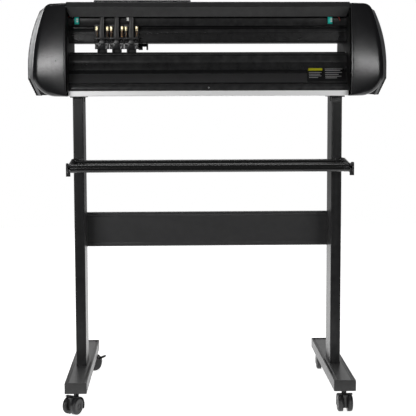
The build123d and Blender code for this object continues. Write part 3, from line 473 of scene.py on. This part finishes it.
def cap_section(z):
    """One level of a cap's outer skin, from its inner rear edge round to its inner front edge."""
    inner = CAP_LOW.x
    side = cap_side(z)
    rim = rounded_in(min(z - CAP_LOW.z, CAP_HIGH.z - z), CAP_RIM)
    bow = (z - CAP_MID_Z) ** 2 / (2 * CAP_BOW_Y) + rim
    rear = CAP_LOW.y + bow
    front = CAP_HIGH.y - bow
    round_x = min(CAP_EDGE, (side - inner) * 0.9)
    bend_x = side - round_x
    flat = bend_x - inner
    points = cap_crowned_face(inner, flat, rear)
    rear += CAP_CROWN
    points += cap_leaning_edge(bend_x, round_x, rear)
    depth = front - rear - 2 * CAP_EDGE
    for k in range(1, CAP_FLAT_STEPS):
        points.append((side, rear + CAP_EDGE + depth * k / CAP_FLAT_STEPS))
    for k in range(CAP_TURN_STEPS + 1):
        turn = pi / 2 * k / CAP_TURN_STEPS
        points.append((bend_x + round_x * cos(turn), front - CAP_EDGE * (1 - sin(turn))))
    for k in range(1, CAP_FLAT_STEPS + 1):
        points.append((bend_x - flat * k / CAP_FLAT_STEPS, front))
    return points


def cap_levels():
    """Heights of the sections, closer together where the skin turns quickly."""
    bow_from = CAP_LOW.z + CAP_CORNER
    bowed = CAP_HIGH.z - CAP_LOW.z - CAP_CORNER - CAP_SHOULDER
    levels = [CAP_LOW.z + CAP_CORNER * (1 - cos(pi / 2 * k / 16)) for k in range(17)]
    levels += [bow_from + bowed * k / 20 for k in range(1, 20)]
    levels += [CAP_HIGH.z - CAP_SHOULDER * (1 - sin(pi / 2 * k / 10)) for k in range(11)]
    return levels


def end_cap(hand, name, node):
    """A smooth moulded shell in place of the plain CAD one."""
    bm = bmesh.new()
    rings = [[(hand * x, y, z) for x, y in cap_section(z)] for z in cap_levels()]
    rows = lattice(bm, rings)
    bm.faces.new(rows[0])
    bm.faces.new(rows[-1])
    plastic = FINISH["black_plastic"]
    piece = add_piece(name, bm, plastic, "root", [node], sharp=50)
    skin = piece.modifiers.new("skin", "SOLIDIFY")
    skin.thickness = CAP_SKIN
    skin.offset = -1


# ---------------------------------------------------------------- pinch units

COIL_WIRE = 0.45 * MM
COIL_TURNS = 6
COIL_STEPS = 16
COIL_INSET = 0.5 * MM
ADJUSTER_RADIUS = 3.75 * MM
ADJUSTER_LIFT = 0.3 * MM


def spring_layout(number):
    """The box of a unit's two springs, the radius of their coils, and their centres."""
    low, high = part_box(f"pinch_springs_{number}")
    radius = (high.y - low.y) / 2 - COIL_WIRE
    half = (high.x - low.x) / 2 - radius - COIL_WIRE
    middle_x = (low.x + high.x) / 2
    middle_y = (low.y + high.y) / 2
    centres = [(middle_x + side * half, middle_y) for side in (-1, 1)]
    return low, high, radius, centres


def pinch_coils(number):
    """Coil springs in place of the unit's plain springs, riding its slider."""
    low, high, radius, centres = spring_layout(number)
    height = high.z - low.z
    bm = bmesh.new()
    for x, y in centres:
        path = []
        for k in range(COIL_TURNS * COIL_STEPS + 1):
            turn = 2 * pi * k / COIL_STEPS
            share = k / (COIL_TURNS * COIL_STEPS)
            z = low.z + COIL_INSET + (height - 2 * COIL_INSET) * share
            path.append(Vector((x + radius * cos(turn), y + radius * sin(turn), z)))
        tube(bm, path, COIL_WIRE)
    node = f"pinch_springs_{number}"
    body = f"pinch_slider_{number}"
    copper = FINISH["spring_brass"]
    coils = add_piece(f"pinch_coils_{number}", bm, copper, body, [node])
    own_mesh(coils)


def pinch_adjusters(number):
    """Brass adjusting screws over the springs, each with a groove under its head."""
    _, high, _, centres = spring_layout(number)
    r = ADJUSTER_RADIUS
    profile = [(0.1 * MM, r), (1.2 * MM, r), (1.7 * MM, r * 0.86), (2.3 * MM, r * 0.86)]
    profile += [(2.8 * MM, r), (10.2 * MM, r), (10.9 * MM, r * 0.85), (11.1 * MM, r * 0.6)]
    bm = bmesh.new()
    for x, y in centres:
        turned(bm, profile, (x, y, high.z + ADJUSTER_LIFT), (0, 0, 1), 24)
    body = f"pinch_slider_{number}"
    add_piece(f"pinch_adjusters_{number}", bm, BRASS, body)


# ---------------------------------------------------------------- films on the apron

# The apron's section in millimetres: height above its foot, and depth behind its foremost face.
APRON_SECTION = [(17, 0), (21, 4), (46, 16), (55, 21), (72, 24)]
FILM_STEPS = 12
FILM_THICKNESS = 0.1 * MM
REFLECTION_BAND_PROUD = 0.3 * MM
LABEL_PROUD = 0.35 * MM
PRINT_PROUD = 0.55 * MM
ROW_HEIGHT = 1.3
# Each row's left end, right end and foot, in millimetres.
LABEL_ROWS = [
    (309, 356, 55.5),
    (309, 350, 51.5),
    (266, 300, 46.5),
    (309, 354, 46.5),
    (266, 296, 42),
    (309, 345, 41.5),
    (266, 299, 37.5),
    (309, 352, 36.5),
    (266, 290, 33),
    (309, 340, 32),
]


def apron_skin(z):
    """Where a film stretched over the apron lies at a height."""
    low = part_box("rear_apron")[0]
    up = (z - low.z) / MM
    for (z0, y0), (z1, y1) in zip(APRON_SECTION, APRON_SECTION[1:]):
        if up <= z1:
            return low.y + (y0 + (y1 - y0) * (up - z0) / (z1 - z0)) * MM
    return low.y + APRON_SECTION[-1][1] * MM


def film(name, x, z, material, proud):
    """A thin sheet on the apron between two x and two heights above its foot, in millimetres."""
    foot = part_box("rear_apron")[0].z
    bm = bmesh.new()
    rows = []
    for k in range(FILM_STEPS + 1):
        at = foot + (z[0] + (z[1] - z[0]) * k / FILM_STEPS) * MM
        y = apron_skin(at) - proud
        rows.append([(x[0] * MM, y, at), (x[1] * MM, y, at)])
    lattice(bm, rows)
    bmesh.ops.solidify(bm, geom=bm.faces[:], thickness=FILM_THICKNESS)
    add_piece(name, bm, material, "root")


def floor_reflection_band():
    """A lighter band along the slanted foot of the apron, with a brushed grain: its colour is a
    painted reflection of the floor.
    """
    film("floor_reflection_band", (-366, 261), (21.5, 45), PAINTED_FLOOR_REFLECTION, REFLECTION_BAND_PROUD)


def rating_label():
    """A generic rating plate on the apron: one coloured bar and plain rows, no lettering."""
    film("label_plate", (262, 360), (25.5, 60.5), LABEL_BLACK, LABEL_PROUD)
    film("label_bar", (265, 302), (52, 58.5), LABEL_YELLOW, PRINT_PROUD)
    for index, (x0, x1, z) in enumerate(LABEL_ROWS):
        row = f"label_row_{index + 1}"
        film(row, (x0, x1), (z, z + ROW_HEIGHT), LABEL_WHITE, PRINT_PROUD)


# ---------------------------------------------------------------- small parts on the beam

LEAD_RADIUS = 0.7 * MM
LEAD_PITCH = 2.4 * MM
LEAD_SPREAD = 1.6 * MM


def small_wires():
    """Short leads from the two connectors under the visor into the caps."""
    low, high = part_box("beam_connectors")
    y = (low.y + high.y) / 2
    starts = {"left": (low.x + 6 * MM, -1), "right": (high.x - 6 * MM, 1)}
    for side, (x, hand) in starts.items():
        for index, material in enumerate((WIRE_RED, WIRE_BLACK, WIRE_RED)):
            lift = index * LEAD_SPREAD
            points = [
                (x + hand * (index - 1) * LEAD_PITCH, y, high.z - 2 * MM),
                (x + hand * (4 * MM + lift), y - 1 * MM, high.z + 3 * MM + lift),
                (x + hand * 14 * MM, y, high.z + 4 * MM + lift),
                (x + hand * 24 * MM, y + 2 * MM, high.z - 1 * MM - lift),
                (x + hand * 27 * MM, y + 3 * MM, high.z - 8 * MM - lift),
            ]
            bm = bmesh.new()
            tube(bm, curve_points(points), LEAD_RADIUS)
            add_piece(f"lead_{side}_{index + 1}", bm, material, "root")


def tab_plug():
    """The pale plug beside the third lifting tab."""
    low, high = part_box("pinch_fork_3")
    middle = (low.x + high.x) / 2
    bm = bmesh.new()
    corner = (middle - 11.5 * MM, low.y + 1.4 * MM, high.z - 12 * MM)
    slab(bm, corner, (middle - 5.3 * MM, low.y + 5.8 * MM, high.z - 3 * MM), 0.5 * MM)
    add_piece("tab_plug", bm, CONNECTOR_WHITE, "pinch_fork_3")


def connector_latches():
    """Pale latches on the faces of the two connectors."""
    low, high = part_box("beam_connectors")
    bm = bmesh.new()
    for x in (low.x + 8 * MM, high.x - 3 * MM):
        for lift in (5 * MM, 11 * MM):
            corner = (x - 2 * MM, low.y - 0.5 * MM, low.z + lift)
            slab(bm, corner, (x + 2 * MM, low.y + 0.5 * MM, low.z + lift + 4 * MM), 0.2 * MM)
    add_piece("connector_latches", bm, CONNECTOR_WHITE, "root")


# ---------------------------------------------------------------- stand details

COLLAR_INSET = 8 * MM
COLLAR_PROUD = 0.5 * MM
BEAD_RADIUS = 1.6 * MM
# Lathe profiles in millimetres: distance from the caster's middle along the axle, and radius.
HUB_PROFILE = [(17.7, 8.7), (18.5, 8.7), (18.9, 8.2), (18.7, 6.4), (18.9, 4.6), (19.35, 3.8)]
HUB_PROFILE += [(19.4, 1.5)]
BOSS_PROFILE = [(18.2, 1.1), (19.0, 1.1), (19.2, 0.7)]
BOSS_COUNT = 5
BOSS_RING = 6.4


def roller_collars(name):
    """Rounded black sleeves on the ends of a media roller."""
    low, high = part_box(f"media_roller_{name}")
    radius = (high.z - low.z) / 2
    sleeve = radius + COLLAR_PROUD
    profile = [(0, radius * 0.7), (0.8 * MM, radius * 0.93), (2.5 * MM, sleeve)]
    profile += [(15 * MM, sleeve), (15.6 * MM, radius - 0.2 * MM)]
    bm = bmesh.new()
    for hand in (-1, 1):
        end = (hand * (high.x - COLLAR_INSET), (low.y + high.y) / 2, (low.z + high.z) / 2)
        turned(bm, profile, end, (-hand, 0, 0), 48)
    body = f"media_roller_{name}"
    plastic = FINISH["black_plastic"]
    add_piece(f"roller_collars_{name}", bm, plastic, body)


def in_metres(profile):
    """A lathe profile given in millimetres."""
    return [(reach * MM, radius * MM) for reach, radius in profile]


def caster_hubs(name):
    """Domed hub caps in a caster's two wheels, each with a ring of round bosses."""
    joint = JOINTS[f"caster_{name}_roll"]
    centre = Vector(joint["pos_m"])
    axle = Vector(joint["axis"]).normalized()
    up = axle.orthogonal().normalized()
    bm = bmesh.new()
    for side in (-1, 1):
        turned(bm, in_metres(HUB_PROFILE), centre, axle * side, 40)
        for k in range(BOSS_COUNT):
            spin = Matrix.Rotation(2 * pi * k / BOSS_COUNT, 3, axle)
            place = centre + spin @ up * BOSS_RING * MM
            turned(bm, in_metres(BOSS_PROFILE), place, axle * side, 12)
    nylon = FINISH["caster_nylon"]
    add_piece(f"caster_hubs_{name}", bm, nylon, f"wheels_{name}")


def crossbar_bead():
    """A rolled bead along the crossbar, a little below its top edge."""
    low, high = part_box("crossbar")
    end = high.x - 2 * MM
    start = (-end, low.y + 0.2 * MM, high.z - 7 * MM)
    bm = bmesh.new()
    turned(bm, [(0, BEAD_RADIUS), (2 * end, BEAD_RADIUS)], start, (1, 0, 0), 24)
    add_piece("crossbar_bead", bm, BAR_BLACK, "root")


# ---------------------------------------------------------------- operator's side details

KEY_COLUMNS = 4
KEY_ROWS = 3
KEY_PITCH = 26 * MM
KEY_HALF_X = 9 * MM
KEY_HALF_Y = 7.5 * MM
MARK_HALF_X = 3 * MM
MARK_HALF_Y = 0.7 * MM
SHEET_THICKNESS = 0.6 * MM
INSIDE_SHEET = 0.4 * MM
RIB_DEPTH = 0.45 * MM
CARRIAGE_FACE_Y = 40 * MM
COVER_THICKNESS = 1.2 * MM


def keypad_sheet():
    """The printed overlay, in place of the plain sheet."""
    low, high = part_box("keypad")
    bm = bmesh.new()
    slab(bm, low, (high.x, high.y, low.z + SHEET_THICKNESS), 0.2 * MM)
    add_piece("keypad_sheet", bm, FINISH["overlay"], "root", ["keypad"])


def keypad_keys():
    """Soft keys in columns and rows, each with a plain mark."""
    low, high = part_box("keypad")
    top = high.z - 0.15 * MM
    keys = bmesh.new()
    marks = bmesh.new()
    for column in range(KEY_COLUMNS):
        for row in range(KEY_ROWS):
            x = high.x - 20 * MM - column * KEY_PITCH
            y = low.y + 14 * MM + row * KEY_PITCH
            corner = (x - KEY_HALF_X, y - KEY_HALF_Y, low.z + INSIDE_SHEET)
            slab(keys, corner, (x + KEY_HALF_X, y + KEY_HALF_Y, top), 0.4 * MM)
            corner = (x - MARK_HALF_X, y - MARK_HALF_Y, top - 0.1 * MM)
            slab(marks, corner, (x + MARK_HALF_X, y + MARK_HALF_Y, top + 0.05 * MM))
    add_piece("keypad_keys", keys, KEY_GRAY, "root")
    add_piece("keypad_marks", marks, LABEL_WHITE, "root")


def display_window():
    """The glass of the display, beside the keys."""
    low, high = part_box("keypad")
    left = low.x + 14 * MM
    corner = (left, low.y + 34 * MM, low.z + INSIDE_SHEET)
    bm = bmesh.new()
    slab(bm, corner, (left + 92 * MM, high.y - 12 * MM, high.z - 0.1 * MM), 0.3 * MM)
    add_piece("display_window", bm, DISPLAY, "root")


def knurled(bm, centre, axis, length, radius, teeth):
    """A ribbed knob: its ribs run along the axis, and its ends are chamfered."""
    along, side, other = axes_about(axis)
    rings = []
    for distance, share in ((0, 0.88), (0.12, 1.0), (0.88, 1.0), (1.0, 0.88)):
        middle = Vector(centre) + along * length * distance
        ring = []
        for k in range(teeth * 4):
            turn = 2 * pi * k / (teeth * 4)
            wide = radius * share - (RIB_DEPTH if k % 4 > 1 else 0.0)
            ring.append(middle + (side * cos(turn) + other * sin(turn)) * wide)
        rings.append(ring)
    closed_skin(bm, rings)


def tool_details():
    """The ribbed clamp knob and the ribbed collar of the blade holder."""
    low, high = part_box("tool_clamp")
    holder_low, holder_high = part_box("blade_holder")
    x = (holder_low.x + holder_high.x) / 2
    y = (holder_low.y + holder_high.y) / 2
    bm = bmesh.new()
    knurled(bm, (x, high.y - 8 * MM, low.z + 11 * MM), (0, 1, 0), 7.9 * MM, 6.0 * MM, 16)
    add_piece("clamp_knob", bm, FINISH["black_plastic"], "tool_plunger")
    bm = bmesh.new()
    knurled(bm, (x, y, holder_low.z + 37.9 * MM), (0, 0, 1), 4.4 * MM, 9.0 * MM, 24)
    add_piece("holder_collar", bm, FINISH["tool_steel"], "blade")


def screw_heads(name, places, axis, radius, body):
    """Round screw heads, each with a socket, standing on a face."""
    height = radius * 0.55
    profile = [(-0.1 * height, radius), (0.6 * height, radius), (0.92 * height, radius * 0.8)]
    profile += [(height, radius * 0.55), (height, radius * 0.5), (0.5 * height, radius * 0.48)]
    bm = bmesh.new()
    for place in places:
        turned(bm, profile, place, axis, 20)
    add_piece(name, bm, FINISH["steel"], body)


def carriage_details():
    """A screwed cover on the carriage's front."""
    low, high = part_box("carriage")
    face = CARRIAGE_FACE_Y + COVER_THICKNESS
    middle = (low.x + high.x) / 2
    bm = bmesh.new()
    corner = (middle + 14 * MM, CARRIAGE_FACE_Y, low.z + 20 * MM)
    slab(bm, corner, (high.x - 1 * MM, face, high.z - 3 * MM), 0.3 * MM)
    add_piece("carriage_cover", bm, FINISH["black_plastic"], "carriage")
    places = []
    for z in (low.z + 24 * MM, high.z - 7 * MM):
        places += [(middle + 17 * MM, face, z), (high.x - 4 * MM, face, z)]
    screw_heads("carriage_screws", places, (0, 1, 0), 1.6 * MM, "carriage")


def cutting_strip():
    """The pale strip in the bed's groove, under the blade's path."""
    low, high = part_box("platen")
    blade_low, blade_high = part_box("blade_holder")
    y = (blade_low.y + blade_high.y) / 2
    bm = bmesh.new()
    corner = (low.x, y - 3.6 * MM, high.z - 1 * MM)
    slab(bm, corner, (high.x, y + 3.6 * MM, high.z - 0.25 * MM), 0.1 * MM)
    add_piece("cutting_strip", bm, STRIP_WHITE, "root")


def apron_screw():
    """The screw in the middle of the apron."""
    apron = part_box("rear_apron")[0]
    place = (0, apron.y, apron.z + 8 * MM)
    screw_heads("apron_screw", [place], (0, -1, 0), 2.4 * MM, "root")


# ---------------------------------------------------------------- room and camera

FLOOR_CORNERS = [(-3.5, -0.6, 0), (3.5, -0.6, 0), (3.5, 3.5, 0), (-3.5, 3.5, 0)]
FLOOR_GLOW = 0.87
# The surround is bright only behind the object, and brighter a little above the horizon.
BACK_FADE_FROM = (0.8, 0.98)
BACK_FADE_TO = (0.03, 1.0)
SKY_FADE_FROM = (0.05, 0.2)
SKY_FADE_TO = (0.22, 0.8)
# Each light's place, the place it faces, its width and height, and its power.
LIGHTS = {
    "key": ((-1.95, -3.0, 1.08), (-1.95, 0, 0.95), 2.1, 0.2, 56),
    "fill": ((2.2, -3.0, 1.06), (2.2, 0, 0.95), 2.1, 0.2, 36),
    "above": ((-0.2, -0.3, 2.4), (-0.2, -0.24, 0.9), 1.8, 0.15, 9),
    "back_left": ((-2.6, 2.8, 1.6), (0, 0, 0.8), 1.2, 1.2, 28),
    "back": ((0, 2.6, 2.6), (0, 0, 0.8), 2.0, 1.0, 30),
}
CAMERA_AT = (-0.0892, -3.099, 0.859)
CAMERA_YAW = 1.667
CAMERA_PITCH = 5.38
CAMERA_ROLL = -0.167
CAMERA_LENS = 97.8
CAMERA_SHIFT = -0.05


def pale_floor():
    """A pale floor that glows a little, so that it reads as white."""
    material = bpy.data.materials.new("pale_floor")
    material.use_nodes = True
    shader = material.node_tree.nodes["Principled BSDF"]
    shader.inputs["Base Color"].default_value = (0.86, 0.86, 0.86, 1)
    shader.inputs["Roughness"].default_value = 0.8
    shader.inputs["Emission Color"].default_value = (1, 1, 1, 1)
    shader.inputs["Emission Strength"].default_value = FLOOR_GLOW
    bm = bmesh.new()
    bm.faces.new([bm.verts.new(corner) for corner in FLOOR_CORNERS])
    mesh = bpy.data.meshes.new("floor")
    bm.to_mesh(mesh)
    bm.free()
    mesh.materials.append(material)
    floor = bpy.data.objects.new("floor", mesh)
    bpy.context.scene.collection.objects.link(floor)


def surround():
    """White where it is looked at, and otherwise a glow from behind the object."""
    world = bpy.data.worlds.new("surround")
    bpy.context.scene.world = world
    world.use_nodes = True
    tree = world.node_tree
    background = tree.nodes["Background"]
    background.inputs["Color"].default_value = (1, 1, 1, 1)
    direction = node_at(tree, "ShaderNodeTexCoord").outputs["Generated"]
    parts = node_at(tree, "ShaderNodeSeparateXYZ")
    tree.links.new(direction, parts.inputs[0])
    behind = remapped(tree, parts.outputs["Y"], BACK_FADE_TO, BACK_FADE_FROM)
    lift = remapped(tree, parts.outputs["Z"], SKY_FADE_TO, SKY_FADE_FROM)
    choose = node_at(tree, "ShaderNodeMix", data_type="FLOAT")
    seen = node_at(tree, "ShaderNodeLightPath").outputs["Is Camera Ray"]
    tree.links.new(seen, choose.inputs["Factor"])
    tree.links.new(product(tree, behind, lift), choose.inputs["A"])
    choose.inputs["B"].default_value = 1.0
    tree.links.new(choose.outputs["Result"], background.inputs["Strength"])


def lamps():
    """Two wide soft lights on the media side, one above, and two behind."""
    for name, (at, towards, width, height, power) in LIGHTS.items():
        light = bpy.data.lights.new(name, "AREA")
        light.shape = "RECTANGLE"
        light.size = width
        light.size_y = height
        light.energy = power
        lamp = bpy.data.objects.new(name, light)
        bpy.context.scene.collection.objects.link(lamp)
        lamp.location = at
        aim = Vector(towards) - Vector(at)
        lamp.rotation_euler = aim.to_track_quat("-Z", "Y").to_euler()


def camera():
    """The camera of the photograph."""
    data = bpy.data.cameras.new("camera")
    data.lens = CAMERA_LENS
    data.sensor_width = 36
    data.shift_y = CAMERA_SHIFT
    data.clip_end = 100
    eye = bpy.data.objects.new("camera", data)
    bpy.context.scene.collection.objects.link(eye)
    yaw = Matrix.Rotation(radians(-CAMERA_YAW), 4, "Z")
    pitch = Matrix.Rotation(radians(90 - CAMERA_PITCH), 4, "X")
    roll = Matrix.Rotation(radians(CAMERA_ROLL), 4, "Z")
    eye.matrix_world = Matrix.Translation(CAMERA_AT) @ (yaw @ pitch @ roll)
    bpy.context.scene.camera = eye
    bpy.context.scene.view_settings.view_transform = "Standard"


dress_cad()
end_cap(-1, "cap_shell_left", "end_cap_left")
end_cap(1, "cap_shell_right", "end_cap_right")
for number in (1, 2, 3):
    pinch_coils(number)
    pinch_adjusters(number)
floor_reflection_band()
rating_label()
small_wires()
tab_plug()
connector_latches()
for name in ("front", "rear"):
    roller_collars(name)
for name in ("front_left", "front_right", "back_left", "back_right"):
    caster_hubs(name)
crossbar_bead()
keypad_sheet()
keypad_keys()
display_window()
tool_details()
carriage_details()
cutting_strip()
apron_screw()
pale_floor()
surround()
lamps()
camera()
